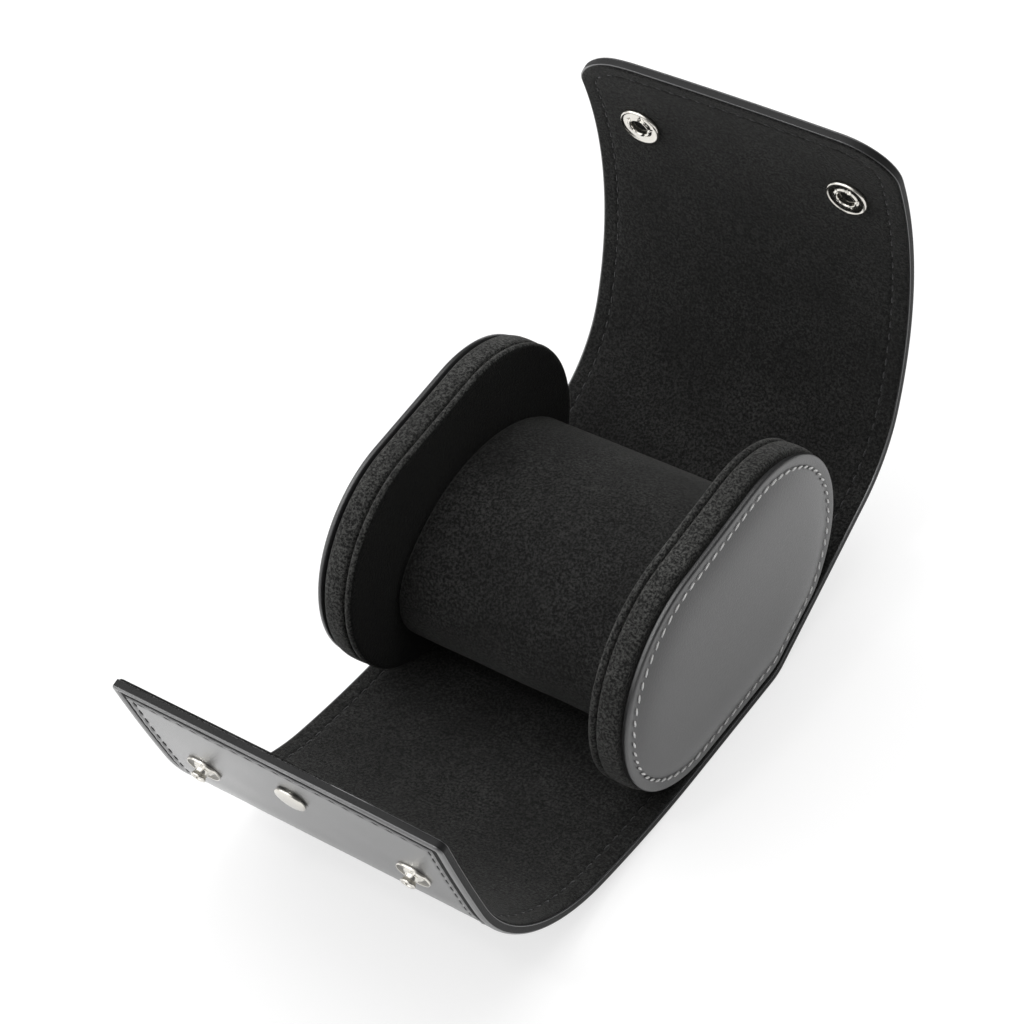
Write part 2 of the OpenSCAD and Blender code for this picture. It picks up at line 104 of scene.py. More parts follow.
def walk(run, length, height):
    """(y, z, heading) at a length along a run and a height over it, in mm."""
    y = z = heading = 0.0
    for piece, degrees in run:
        part = min(length, piece)
        if degrees == 0.0:
            y += part * math.cos(heading)
            z += part * math.sin(heading)
        else:
            radius = piece / math.radians(degrees)
            after = heading + part / radius
            y += radius * (math.sin(after) - math.sin(heading))
            z += radius * (math.cos(heading) - math.cos(after))
            heading = after
        length -= part
        if length <= 0.0:
            break
    return y - height * math.sin(heading), z + height * math.cos(heading), heading


def on_wrap(x, s, h):
    """The point at x, at the length s round the wrap and the height h."""
    y, z, _ = walk(FRONT_RUN if s < 0 else BACK_RUN, abs(s), h)
    return Vector((x, -y if s < 0 else y, z)) * MM


print("wrap is", FRONT_EDGE + BACK_EDGE, "mm long")

# %% [markdown]
# ## Helpers for meshes
# A bmesh is turned into an object that sits at the origin, with smooth
# shading that breaks at sharp edges.

# %% Helpers for meshes
SHARP = math.radians(40)


def to_object(bm, name, finishes, sharp=SHARP):
    mesh = bpy.data.meshes.new(name)
    bm.to_mesh(mesh)
    bm.free()
    for finish in finishes if isinstance(finishes, list) else [finishes]:
        mesh.materials.append(finish)
    mesh.polygons.foreach_set("use_smooth", [True] * len(mesh.polygons))
    if sharp is not None:
        mesh.set_sharp_from_angle(angle=sharp)
    piece = bpy.data.objects.new(name, mesh)
    bpy.context.scene.collection.objects.link(piece)
    return piece


def smoothstep(a, b, value):
    t = min(max((value - a) / (b - a), 0.0), 1.0)
    return t * t * (3 - 2 * t)


def dip(distance, centre, depth, width):
    return depth * math.exp(-((distance - centre) / width) ** 2)


# %% [markdown]
# ## Finishes
# Each finish is named for what it is on the real object. Colours are written
# as sRGB hex and turned to linear by one function, and one small function
# adds a node with its settings and links.

# %% Helpers for finishes
def linear(hex_colour):
    channels = [int(hex_colour[i:i + 2], 16) / 255 for i in (1, 3, 5)]
    return tuple(c / 12.92 if c <= 0.04045 else ((c + 0.055) / 1.055) ** 2.4
                 for c in channels) + (1.0,)


def add(tree, kind, settings=None, links=None):
    """A node of a kind, its settings by name, its inputs by name or number."""
    node = tree.nodes.new("ShaderNode" + kind)
    for key, value in (settings or {}).items():
        if isinstance(key, str) and hasattr(node, key):
            setattr(node, key, value)
        else:
            node.inputs[key].default_value = value
    for key, source in (links or {}).items():
        tree.links.new(source, node.inputs[key])
    return node


def new_finish(name):
    finish = bpy.data.materials.new(name)
    finish.use_nodes = True
    tree = finish.node_tree
    tree.nodes.clear()
    return finish, tree


def close_finish(tree, shader):
    add(tree, "OutputMaterial", links={"Surface": shader.outputs[0]})


def object_place(tree):
    return add(tree, "TexCoord").outputs["Object"]


def per_mm(size):
    """Noise scale in 1/m for a pattern of that many millimetres."""
    return 1.0 / (size * MM)


# %% [markdown]
# ### Smooth coated leather
# Split leather with a thin coat of pigment and resin: dark grey, satin, with
# pores of nearly a millimetre and a finer grain between them. It gives the eye
# broad soft reflections that break up only when seen close, so the grain is a
# low bump and a little change in roughness, and the colour hardly changes. The
# cheeks' leather is padded and duller, and cut edges are sealed with black
# paint. The same black finish is laid in the crease along the wrap's edge as
# painted shade.

# %% Leather finish
WEAR_MM = 14
PORE_MM = 0.9
GRAIN_MM = 0.45


def make_leather(name, colour, worn, roughness, gleam, coat, grain):
    finish, tree = new_finish(name)
    place = object_place(tree)
    cloud = add(tree, "TexNoise", {"Scale": per_mm(WEAR_MM), "Detail": 3.0}, {"Vector": place})
    tint = add(tree, "MapRange", {"From Min": 0.35, "From Max": 0.7},
               {"Value": cloud.outputs["Fac"]})
    colours = add(tree, "Mix", {"data_type": "RGBA", 6: linear(colour), 7: linear(worn)},
                  {0: tint.outputs["Result"]})
    pores = add(tree, "TexVoronoi", {"feature": "DISTANCE_TO_EDGE", "Scale": per_mm(PORE_MM)},
                {"Vector": place})
    cells = add(tree, "MapRange", {"From Min": 0.0, "From Max": 0.12},
                {"Value": pores.outputs["Distance"]})
    fine = add(tree, "TexNoise", {"Scale": per_mm(GRAIN_MM), "Detail": 4.0}, {"Vector": place})
    gloss = add(tree, "MapRange", {"To Min": roughness - 0.05, "To Max": roughness + 0.07},
                {"Value": fine.outputs["Fac"]})
    bump_fine = add(tree, "Bump", {"Strength": grain, "Distance": 0.1 * MM},
                    {"Height": fine.outputs["Fac"]})
    bump = add(tree, "Bump", {"Strength": 0.8 * grain, "Distance": 0.08 * MM},
               {"Height": cells.outputs["Result"], "Normal": bump_fine.outputs["Normal"]})
    shader = add(tree, "BsdfPrincipled",
                 {"IOR": 1.5, "Specular IOR Level": gleam, "Coat Weight": coat,
                  "Coat Roughness": 0.3},
                 {"Base Color": colours.outputs[2], "Roughness": gloss.outputs["Result"],
                  "Normal": bump.outputs["Normal"]})
    close_finish(tree, shader)
    return finish


leather = make_leather("coated_leather", "#29292b", "#323234", roughness=0.33, gleam=1.0,
                       coat=1.0, grain=0.5)
panel_leather = make_leather("padded_coated_leather", "#1f1f20", "#272728", roughness=0.36,
                             gleam=0.85, coat=0.35, grain=0.45)
# The black edge paint is real on the cut edges; in the crease the same finish is painted shade.
edge_paint_and_crease_shade = make_leather("black_edge_paint_and_painted_crease_shade", "#0f0f10", "#161616", roughness=0.6,
                          gleam=0.35, coat=0.0, grain=0.4)

# %% [markdown]
# ### Black microsuede
# A knitted cloth with a brushed nap: almost black, with grey specks where
# tufts of the nap catch the light and larger clouds where a hand has brushed
# it. The specks are drawn about 0.65 mm wide, a little coarser than real, so
# that they show. Sheen gives the pale rim that cloth has at grazing angles. The
# cheeks' bands and welts take a paler copy of the suede, painted light where
# light falls on them, and the cheeks' inner faces a darker copy, painted shade.

# %% Suede finish
NAP_MM = 0.65
BRUSHED_MM = 16


def make_suede(name, dark, pale):
    finish, tree = new_finish(name)
    place = object_place(tree)
    nap = add(tree, "TexNoise", {"Scale": per_mm(NAP_MM), "Detail": 4.0, "Roughness": 0.75},
              {"Vector": place})
    cloud = add(tree, "TexNoise", {"Scale": per_mm(BRUSHED_MM), "Detail": 2.0},
                {"Vector": place})
    specks = add(tree, "MapRange", {"From Min": 0.43, "From Max": 0.62},
                 {"Value": nap.outputs["Fac"]})
    clouds = add(tree, "MapRange", {"From Min": 0.3, "From Max": 0.75, "To Min": 0.55},
                 {"Value": cloud.outputs["Fac"]})
    amount = add(tree, "Math", {"operation": "MULTIPLY"},
                 {0: specks.outputs["Result"], 1: clouds.outputs["Result"]})
    colours = add(tree, "Mix", {"data_type": "RGBA", 6: linear(dark), 7: linear(pale)},
                  {0: amount.outputs["Value"]})
    bump = add(tree, "Bump", {"Strength": 1.0, "Distance": 0.35 * MM},
               {"Height": nap.outputs["Fac"]})
    shader = add(tree, "BsdfPrincipled",
                 {"Roughness": 0.95, "IOR": 1.45, "Specular IOR Level": 0.25,
                  "Sheen Weight": 0.35, "Sheen Roughness": 0.45,
                  "Sheen Tint": linear("#8c8c8a")},
                 {"Base Color": colours.outputs[2], "Normal": bump.outputs["Normal"]})
    close_finish(tree, shader)
    return finish


suede = make_suede("black_microsuede", "#090909", "#393938")
pillow_suede = make_suede("pillow_microsuede", "#060606", "#3a3a39")
# Paler copy for the cheeks' bands and welts: painted light. Darker copy for their inner faces:
# painted shade.
cheek_suede = make_suede("painted_light_cheek_microsuede", "#111111", "#5a5a58")
painted_shade_inner_suede = make_suede("painted_shade_inner_microsuede", "#080808", "#282827")

# %% [markdown]
# ### Thread and nickel
# The cheeks are sewn with white polyester thread and the wrap with black. The
# studs are nickel-plated brass: a slightly warm white metal, polished, with
# fine handling marks. The hollow of each stud is given a darker, rougher
# nickel, a painted dark reflection.

# %% Thread and nickel finishes
TWIST_MM = 0.3
MARKS_MM = 1.5


def make_thread(name, colour, shade):
    finish, tree = new_finish(name)
    place = object_place(tree)
    twist = add(tree, "TexNoise", {"Scale": per_mm(TWIST_MM), "Detail": 1.0}, {"Vector": place})
    colours = add(tree, "Mix", {"data_type": "RGBA", 6: linear(shade), 7: linear(colour)},
                  {0: twist.outputs["Fac"]})
    bump = add(tree, "Bump", {"Strength": 0.5, "Distance": 0.1 * MM},
               {"Height": twist.outputs["Fac"]})
    shader = add(tree, "BsdfPrincipled", {"Roughness": 0.6, "Sheen Weight": 0.2},
                 {"Base Color": colours.outputs[2], "Normal": bump.outputs["Normal"]})
    close_finish(tree, shader)
    return finish


def make_nickel(name, colour, roughness):
    finish, tree = new_finish(name)
    place = object_place(tree)
    marks = add(tree, "TexNoise", {"Scale": per_mm(MARKS_MM), "Detail": 5.0}, {"Vector": place})
    gloss = add(tree, "MapRange", {"To Min": roughness - 0.08, "To Max": roughness + 0.12},
                {"Value": marks.outputs["Fac"]})
    bump = add(tree, "Bump", {"Strength": 0.08, "Distance": 0.05 * MM},
               {"Height": marks.outputs["Fac"]})
    shader = add(tree, "BsdfPrincipled", {"Base Color": linear(colour), "Metallic": 1.0},
                 {"Roughness": gloss.outputs["Result"], "Normal": bump.outputs["Normal"]})
    close_finish(tree, shader)
    return finish


white_thread = make_thread("white_thread", "#ffffff", "#e9e8e4")
black_thread = make_thread("black_thread", "#242426", "#101011")
nickel = make_nickel("polished_nickel", "#dedbd4", 0.16)
# Darker, rougher nickel for the studs' hollows: a painted dark reflection.
painted_reflection_nickel = make_nickel("painted_dark_reflection_nickel", "#8f8d88", 0.42)

# %% [markdown]
# ## The wrap
# The wrap is drawn flat first, as a grid whose columns and rows crowd
# together along the edges, and each point is then moved to its place on the
# line. First comes the outline: the ends of the flaps are bowed, the front
# flap's corners are nearly square and the back flap's are round.

# %% Outline of the flat wrap
CORNERS = {-1: 2.0, 1: 13.5}
BOWS = {-1: 0.9, 1: 1.5}
SKEW = 1.6
BLUNT = 2.6
BOW_LENGTH = 25.0
EDGES = {-1: FRONT_EDGE, 1: BACK_EDGE}
EDGE_STEPS = [0.0, 0.03, 0.1, 0.22, 0.4, 0.7, 1.05, 1.4, 1.7, 1.95, 2.2, 2.45, 2.7, 2.95,
              3.2, 3.5, 3.8, 4.1, 4.35, 4.55, 4.75, 4.95, 5.2, 5.5, 6.0, 7.0, 8.5]
COLUMN_STEP = 2.5
ROW_STEP = 0.95
FINE_STEP = 0.54


def bowed(x, s):
    """Length after the slight bow of the flap ends. The front flap was cut a
    little askew, longer on the left, and the back flap's left corner is the
    blunter one."""
    side = -1 if s < 0 else 1
    share = smoothstep(EDGES[side] - BOW_LENGTH, EDGES[side], abs(s))
    longer = -BOWS[side] * (x / WRAP_HALF) ** 2
    if side < 0:
        longer += SKEW * (0.5 - x / WRAP_HALF / 2)
    else:
        longer -= BLUNT * smoothstep(26.0, WRAP_HALF, -x)
    return s + side * longer * share


def half_width(s):
    side = -1 if s < 0 else 1
    radius = CORNERS[side]
    over = abs(s) - (EDGES[side] - radius)
    if over <= 0.0:
        return WRAP_HALF
    return WRAP_HALF - radius + math.sqrt(max(radius ** 2 - over ** 2, 0.0))


def edge_distance(x, s):
    """Distance of a point of the flat wrap from the outline."""
    side = -1 if s < 0 else 1
    radius = CORNERS[side]
    dx = abs(x) - (WRAP_HALF - radius)
    ds = abs(s) - (EDGES[side] - radius)
    if dx > 0 and ds > 0:
        return max(radius - math.hypot(dx, ds), 0.0)
    return max(min(WRAP_HALF - abs(x), EDGES[side] - abs(s)), 0.0)


def columns(step):
    near = [WRAP_HALF - d for d in EDGE_STEPS]
    inner = near[-1]
    count = math.ceil(inner / step)
    middle = [inner * k / count for k in range(count)]
    right = sorted(set(near + middle))
    return [-x for x in reversed(right) if x > 0] + right


def rows(s_from, s_to, step):
    count = math.ceil((s_to - s_from) / step)
    values = [s_from + (s_to - s_from) * k / count for k in range(count + 1)]
    near_edge = []
    for side, edge in EDGES.items():
        if min(abs(s_from - side * edge), abs(s_to - side * edge)) < 0.001:
            values = [v for v in values if abs(v - side * edge) > EDGE_STEPS[-1] + 0.3]
            near_edge += [side * (edge - d) for d in EDGE_STEPS]
    return sorted(values + near_edge)


# %% [markdown]
# ### Heights of the leather and the suede
# The same grid gives the outer and the inner face of a sheet, each with a
# height for every point. The leather swells to a bead along its edge, then
# comes a crease, and then a valley where the stitches pull it down and between
# which it puffs up. It dips round each stud. Each of these is one smooth dip,
# given by its distance from the outline, its depth and its width, all in mm.
# The middle of a socket is open, so that the stud can enter.

# %% Heights of the leather and the suede
STUD_X = 29.5
STUD_AT = -(FRONT_EDGE - 27.5)
BUTTON_AT = -(FRONT_EDGE - 16.0)
SOCKET_AT = BACK_EDGE - 25.5
STITCH_IN = 4.7
STITCH_PITCH = 3.8
STITCH_LONG = 2.6
OUTER_R = 0.4
INNER_R = 0.15
LEATHER_TOP = 2.15
CREASE_IN = 2.5
# Half-width of the band along the crease that is painted black as shade.
CREASE_SHADE_HALF = 0.62
BEAD = (1.0, -0.22, 0.6)
CREASE = (CREASE_IN, 0.5, 0.5)
STUD_DENT = (0.0, 0.13, 6.5)
BUTTON_DENT = (0.0, 0.1, 5.5)
SOCKET_HOLE = (0.0, 0.85, 2.9)
SLOW = 0.09
LINING_IN = 0.4
LINING_OVER = 0.15
LINING_R = 0.7
LINING_UNDER = 0.55


def edge_round(distance, radius):
    if distance >= radius:
        return 0.0
    return radius - math.sqrt(radius ** 2 - (radius - distance) ** 2)


def stud_dents(x, s):
    depth = 0.0
    for stud_x in (-STUD_X, STUD_X):
        for at in (STUD_AT, SOCKET_AT):
            depth += dip(math.hypot(x - stud_x, s - at), *STUD_DENT)
    return depth + dip(math.hypot(x, s - BUTTON_AT), *BUTTON_DENT)


def stud_holes(x, s):
    """The wrap gives way in the middle of each socket, where a stud enters."""
    return sum(dip(math.hypot(x - stud_x, s - SOCKET_AT), *SOCKET_HOLE)
               for stud_x in (-STUD_X, STUD_X))


def swell(x, s):
    """0 under the middle of a stitch and 1 between two stitches."""
    side = -1 if s < 0 else 1
    along = x if EDGES[side] - abs(s) < WRAP_HALF - abs(x) else s
    return 0.5 - 0.5 * math.cos(2 * math.pi * along / STITCH_PITCH)


def leather_out(x, s, d):
    pull = 0.07 * noise.noise(Vector((x * SLOW, s * SLOW, 1.0)))
    between = swell(x, s)
    return (edge_round(d, OUTER_R) + dip(d, *BEAD) + dip(d, *CREASE)
            - dip(d, STITCH_IN - 1.0, 0.14 + 0.12 * between, 0.4)
            + dip(d, STITCH_IN, 0.4 - 0.32 * between, 0.4)
            + (stud_dents(x, s) + pull) * smoothstep(1.3, 4.0, d))


def leather_in(x, s, d):
    return LEATHER_TOP - edge_round(d, INNER_R) - stud_holes(x, s)


def lining_in(x, s, d):
    inner = d - LINING_IN
    soft = 0.08 * noise.noise(Vector((x * SLOW, s * SLOW, 7.0)))
    return (WRAP_T + LINING_OVER - edge_round(inner, LINING_R) * 0.75
            - dip(d, STITCH_IN, 0.28 - 0.12 * swell(x, s), 0.5)
            + soft * smoothstep(3.0, 8.0, d) - stud_holes(x, s))


def lining_out(x, s, d):
    return WRAP_T - LINING_UNDER - stud_holes(x, s)


# %% [markdown]
# ### Closed sheets in five lengths
# The grid is copied, the copy becomes the outer face, and the two rims are
# bridged, so that a sheet is closed. On the leather, the bridged edge takes the
# black edge paint, and the crease takes the same black finish as painted shade.
# The suede ends a little inside the leather, so its rows are drawn in over the
# last centimetre of a flap.
#
# The leather bends at five lines, so the wrap is made in five lengths, each
# with one bend line in it. They meet where nothing bends, between two bend
# lines. The front flap's end, whose border shows most, has the finest grid.

# %% Closed sheets
DRAWN_IN = 10


def place_flat(column, s, inset):
    """x, s and the distance from the outline for a point of the flat grid."""
    side = -1 if s < 0 else 1
    edge = EDGES[side]
    if inset == 0.0:
        x = column * half_width(s) / WRAP_HALF
        return x, s, edge_distance(x, s)
    on_edge = abs(column) > WRAP_HALF - 1e-6 or abs(abs(s) - edge) < 1e-6
    if abs(s) > edge - DRAWN_IN:
        s -= side * inset * smoothstep(edge - DRAWN_IN, edge, abs(s))
    radius = max(CORNERS[side] - inset, 0.05)
    over = min(max(abs(s) - (edge - inset - radius), 0.0), radius)
    width = WRAP_HALF - inset - radius + math.sqrt(radius ** 2 - over ** 2)
    x = column / WRAP_HALF * width
    return x, s, inset if on_edge else max(edge_distance(x, s), inset)


def wrap_sheet(name, s_from, s_to, outer, inner, inset, finishes, step):
    """A closed sheet of the wrap. outer and inner give its two heights, and
    finishes are those of its faces and of its painted edge, which also darkens
    the crease as painted shade."""
    across = columns(step)
    along = rows(s_from, s_to, min(step, ROW_STEP))
    nx, ny = len(across) - 1, len(along) - 1
    bm = bmesh.new()
    bmesh.ops.create_grid(bm, x_segments=nx, y_segments=ny, size=0.5)
    copied = bmesh.ops.duplicate(bm, geom=list(bm.faces) + list(bm.edges) + list(bm.verts))
    outside = {g for g in copied["geom"] if isinstance(g, bmesh.types.BMVert)}
    # Faces along the crease on the leather's outer face take the black finish: painted shade in
    # the crease.
    for face in bm.faces if outer is leather_out else []:
        column = [across[round((v.co.x + 0.5) * nx)] for v in face.verts]
        s = [along[round((v.co.y + 0.5) * ny)] for v in face.verts]
        _, _, d = place_flat(sum(column) / 4, sum(s) / 4, inset)
        if face.verts[0] in outside and abs(d - CREASE_IN) < CREASE_SHADE_HALF:
            face.material_index = 1
    for v in bm.verts:
        column = across[round((v.co.x + 0.5) * nx)]
        s = along[round((v.co.y + 0.5) * ny)]
        x, s, d = place_flat(column, s, inset)
        height = (outer if v in outside else inner)(x, s, d)
        v.co = on_wrap(x, bowed(x, s), height)
    rims = [e for e in bm.edges if e.is_boundary]
    for face in bmesh.ops.bridge_loops(bm, edges=rims)["faces"]:
        face.material_index = 1
    bmesh.ops.recalc_face_normals(bm, faces=bm.faces)
    return to_object(bm, name, finishes)


SEAMS = [-FRONT_EDGE, -76.0, -41.5, 0.0, 83.0, BACK_EDGE]
LENGTHS = ["front_end", "front_bend", "front_floor", "back_panel", "back_end"]
STEPS = [FINE_STEP, COLUMN_STEP, COLUMN_STEP, COLUMN_STEP, ROW_STEP]
leather_lengths = {}
lining_lengths = {}
for name, s_from, s_to, step in zip(LENGTHS, SEAMS[:-1], SEAMS[1:], STEPS):
    leather_lengths[name] = wrap_sheet("wrap_leather_" + name, s_from, s_to, leather_out,
                                       leather_in, 0.0, [leather, edge_paint_and_crease_shade], step)
    lining_lengths[name] = wrap_sheet("wrap_lining_" + name, s_from, s_to, lining_out,
                                      lining_in, LINING_IN, [suede, suede],
                                      max(step, ROW_STEP))
    print(name, len(leather_lengths[name].data.polygons), "faces")

# %% [markdown]
# ## Stitching on the wrap
# A line of black lock stitch runs nearly 5 mm inside the edge, on the leather
# and on the suede. Each stitch is a short plump grain of thread that lies in
# the valley. A stitch is centred on each multiple of the pitch along a
# straight side, where the leather dips most, and three turn each round corner.

# %% Stitches
THREAD_R = 0.28
OUTER_STITCH_H = 0.12
INNER_STITCH_H = WRAP_T + LINING_OVER - 0.2
CORNER_STITCHES = (15.0, 45.0, 75.0)


def spread(low, high):
    """Middles of the stitches between two ends, on multiples of the pitch."""
    first = math.ceil((low + STITCH_LONG / 2) / STITCH_PITCH)
    last = math.floor((high - STITCH_LONG / 2) / STITCH_PITCH)
    return [k * STITCH_PITCH for k in range(first, last + 1)]


def wrap_seam():
    """Start and end of each stitch on the flat wrap, as pairs of (x, s)."""
    half = STITCH_LONG / 2
    seam = []
    front = -(FRONT_EDGE - STITCH_IN)
    back = BACK_EDGE - STITCH_IN
    for x in (STITCH_IN - WRAP_HALF, WRAP_HALF - STITCH_IN):
        seam += [((x, s - half), (x, s + half)) for s in spread(front, BACK_EDGE - CORNERS[1])]
    for s, end in ((front, WRAP_HALF - STITCH_IN), (back, WRAP_HALF - CORNERS[1])):
        seam += [((x - half, s), (x + half, s)) for x in spread(-end, end)]
    bend = CORNERS[1] - STITCH_IN
    for side in (-1, 1):
        for degrees in CORNER_STITCHES:
            ends = []
            for turn in (-half / bend, half / bend):
                angle = math.radians(degrees) + turn
                ends.append((side * (WRAP_HALF - CORNERS[1] + bend * math.cos(angle)),
                             BACK_EDGE - CORNERS[1] + bend * math.sin(angle)))
            seam.append(tuple(ends))
    return seam


def walk_path(path, pitch, long):
    """Start and end of each stitch along a path of (a, b) points."""
    marks, run = [], 0.0
    for (a0, b0), (a1, b1) in zip(path, path[1:] + path[:1]):
        marks.append(run)
        run += math.hypot(a1 - a0, b1 - b0)
    count = round(run / pitch)
    real = run / count

    def find(at):
        low, high = 0, len(marks) - 1
        while low < high:
            mid = (low + high + 1) // 2
            if marks[mid] <= at:
                low = mid
            else:
                high = mid - 1
        return path[low]

    return [(find(k * real), find(k * real + long)) for k in range(count)]


def lay_stitch(bm, start, end, normal, radius):
    """A plump grain of thread from start to end, a little flatter than round."""
    along = end - start
    length = along.length
    if length < 1e-6:
        return
    along.normalize()
    aside = normal.cross(along).normalized()
    up = along.cross(aside)
    scale = Matrix.Diagonal((length / 2, radius, radius * 0.8, 1.0))
    turn = Matrix((along, aside, up)).transposed().to_4x4()
    middle = Matrix.Translation((start + end) / 2)
    bmesh.ops.create_icosphere(bm, subdivisions=1, radius=1.0, matrix=middle @ turn @ scale)


wrap_stitches = wrap_seam()
thread_lengths = {}
for name, s_from, s_to in zip(LENGTHS, SEAMS[:-1], SEAMS[1:]):
    bm = bmesh.new()
    for (x0, s0), (x1, s1) in wrap_stitches:
        middle = (s0 + s1) / 2
        if not s_from < middle <= s_to:
            continue
        for height, sign in ((OUTER_STITCH_H, -1), (INNER_STITCH_H, 1)):
            start = on_wrap(x0, bowed(x0, s0), height)
            end = on_wrap(x1, bowed(x1, s1), height)
            up = on_wrap(x0, bowed(x0, s0), height + sign) - start
            lay_stitch(bm, start, end, up.normalized(), THREAD_R * MM)
    thread_lengths[name] = to_object(bm, "wrap_thread_" + name, black_thread, None)
print("wrap stitches:", len(wrap_stitches), "on each face")

# %% [markdown]
# ## The joints
# Each length of leather, suede and thread has one joint inside it. For each,
# the start and end of a blend are found a little over a centimetre either side
# of the bend line, on the lining, where the joint's axis lies, but no blend is
# made from them. The pieces' transforms are baked into their meshes, and the
# parts of the construction model that the length stands for are hidden. Each
# row below has the two bodies, the place of the bend line and the reach of the
# blend.

# %% Bends
BENDS = {
    "front_end": ("front_mid", "front_tip", -99.0, 14.0),
    "front_bend": ("front_lower", "front_mid", -55.0, 12.0),
    "front_floor": ("base", "front_lower", -28.5, 11.0),
    "back_panel": ("base", "back_lower", 51.0, 14.0),
    "back_end": ("back_lower", "back_tip", 115.0, 14.0),
}
STANDS_FOR = {
    "front_end": "front_tip",
    "front_bend": "front_mid",
    "front_floor": "front_lower",
    "back_panel": "base",
    "back_end": "back_tip",
}
for name, (near_body, far_body, at, reach) in BENDS.items():
    side = math.copysign(1.0, at)
    start = on_wrap(0.0, at - side * reach, WRAP_T)
    end = on_wrap(0.0, at + side * reach, WRAP_T)
    for piece in (leather_lengths[name], lining_lengths[name], thread_lengths[name]):
        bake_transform(piece)
    section = STANDS_FOR[name]
    extra = ["back_lower"] if name == "back_panel" else []
    for part in [section] + extra:
        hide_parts(part + "_leather", part + "_board")
        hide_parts(part + "_lining")

# %% [markdown]
# ## The cheeks
# A cheek is a foam slab between a suede face and a padded leather panel. Its
# outline is two rounds joined by tangents, cut off below by the wrap's base
# and by its straight back panel, on which the cheek stands. A ring of points
# on that outline is made for each step of the section and the rings are
# bridged, as a skin is drawn over a form.

# %% Cheek outline
CHEEK_FRONT = (-15.5, WRAP_T + 33.0, 33.0)
CHEEK_BACK = (12.8, WRAP_T + 34.5, 34.5)
RING = 168
SEAT_GAP = 0.12
SEAT_RISE = 0.9
ON_PANEL = 30.0
PANEL_Y, PANEL_Z, PANEL_HEADING = walk(BACK_RUN, ON_PANEL, WRAP_T + SEAT_GAP)


def cheek_points(inset):
    """Points (y, z) of the cheek outline, inset by so much, evenly spaced."""
    (y1, z1, r1), (y2, z2, r2) = CHEEK_FRONT, CHEEK_BACK
    span = math.hypot(y2 - y1, z2 - z1)
    lean = math.atan2(z2 - z1, y2 - y1)
    open_angle = math.acos((r1 - r2) / span)
    back_arc = 2 * open_angle * r2
    front_arc = (2 * math.pi - 2 * open_angle) * r1
    tangent = math.sqrt(span ** 2 - (r2 - r1) ** 2)
    total = back_arc + front_arc + 2 * tangent
    a, b = r1 - inset, r2 - inset
    points = []
    for k in range(RING):
        t = total * k / RING
        if t < back_arc:
            angle = lean - open_angle + t / r2
            points.append((y2 + b * math.cos(angle), z2 + b * math.sin(angle)))
            continue
        t -= back_arc
        if t < tangent:
            angle = lean + open_angle
            p = (y2 + b * math.cos(angle), z2 + b * math.sin(angle))
            q = (y1 + a * math.cos(angle), z1 + a * math.sin(angle))
        elif t < tangent + front_arc:
            angle = lean + open_angle + (t - tangent) / r1
            points.append((y1 + a * math.cos(angle), z1 + a * math.sin(angle)))
            continue
        else:
            t -= tangent + front_arc
            angle = lean - open_angle
            p = (y1 + a * math.cos(angle), z1 + a * math.sin(angle))
            q = (y2 + b * math.cos(angle), z2 + b * math.sin(angle))
        share = min(t / tangent, 1.0)
        points.append((p[0] + (q[0] - p[0]) * share, p[1] + (q[1] - p[1]) * share))
    return [seated(y, z, inset) for y, z in points]


def seated(y, z, inset):
    """The point, raised off the wrap where the cheek stands on it."""
    rise = max(inset, 0.0) * SEAT_RISE
    z = max(z, WRAP_T + SEAT_GAP + rise)
    over = (-(y - PANEL_Y) * math.sin(PANEL_HEADING)
            + (z - PANEL_Z) * math.cos(PANEL_HEADING)) - rise
    if over < 0.0:
        y += over * math.sin(PANEL_HEADING)
        z -= over * math.cos(PANEL_HEADING)
    return y, z


def ring(bm, x, inset):
    made = bmesh.ops.create_circle(bm, segments=RING, radius=1.0)["verts"]
    for v, (y, z) in zip(made, cheek_points(inset)):
        v.co = Vector((x, y, z)) * MM
    return made


def loops_of(verts):
    chosen = set(verts)
    return [e for v in verts for e in v.link_edges if all(w in chosen for w in e.verts)]


def bridge_rings(bm, rings):
    """Joins each ring to the next and closes both ends."""
    for first, second in zip(rings[:-1], rings[1:]):
        edges = list(dict.fromkeys(loops_of(first) + loops_of(second)))
        bmesh.ops.bridge_loops(bm, edges=edges)
    for last in (rings[0], rings[-1]):
        bmesh.ops.contextual_create(bm, geom=last)
    bmesh.ops.recalc_face_normals(bm, faces=bm.faces)


def skin(bm, section):
    """Draws a skin over a ring for each (x, inset) of the section."""
    bridge_rings(bm, [ring(bm, x, inset) for x, inset in section])


# %% [markdown]
# ### Skins and stitches of the cheeks
# The sections, in mm, have what the eye reads on the real cheek: the suede's
# inner face, a narrow welt, a seam, the band and a dark groove, and then the
# leather's turned edge, the stitched valley and the puffed middle. The white
# stitches lie a little aslant in the valley. The left cheek is a mirror image.

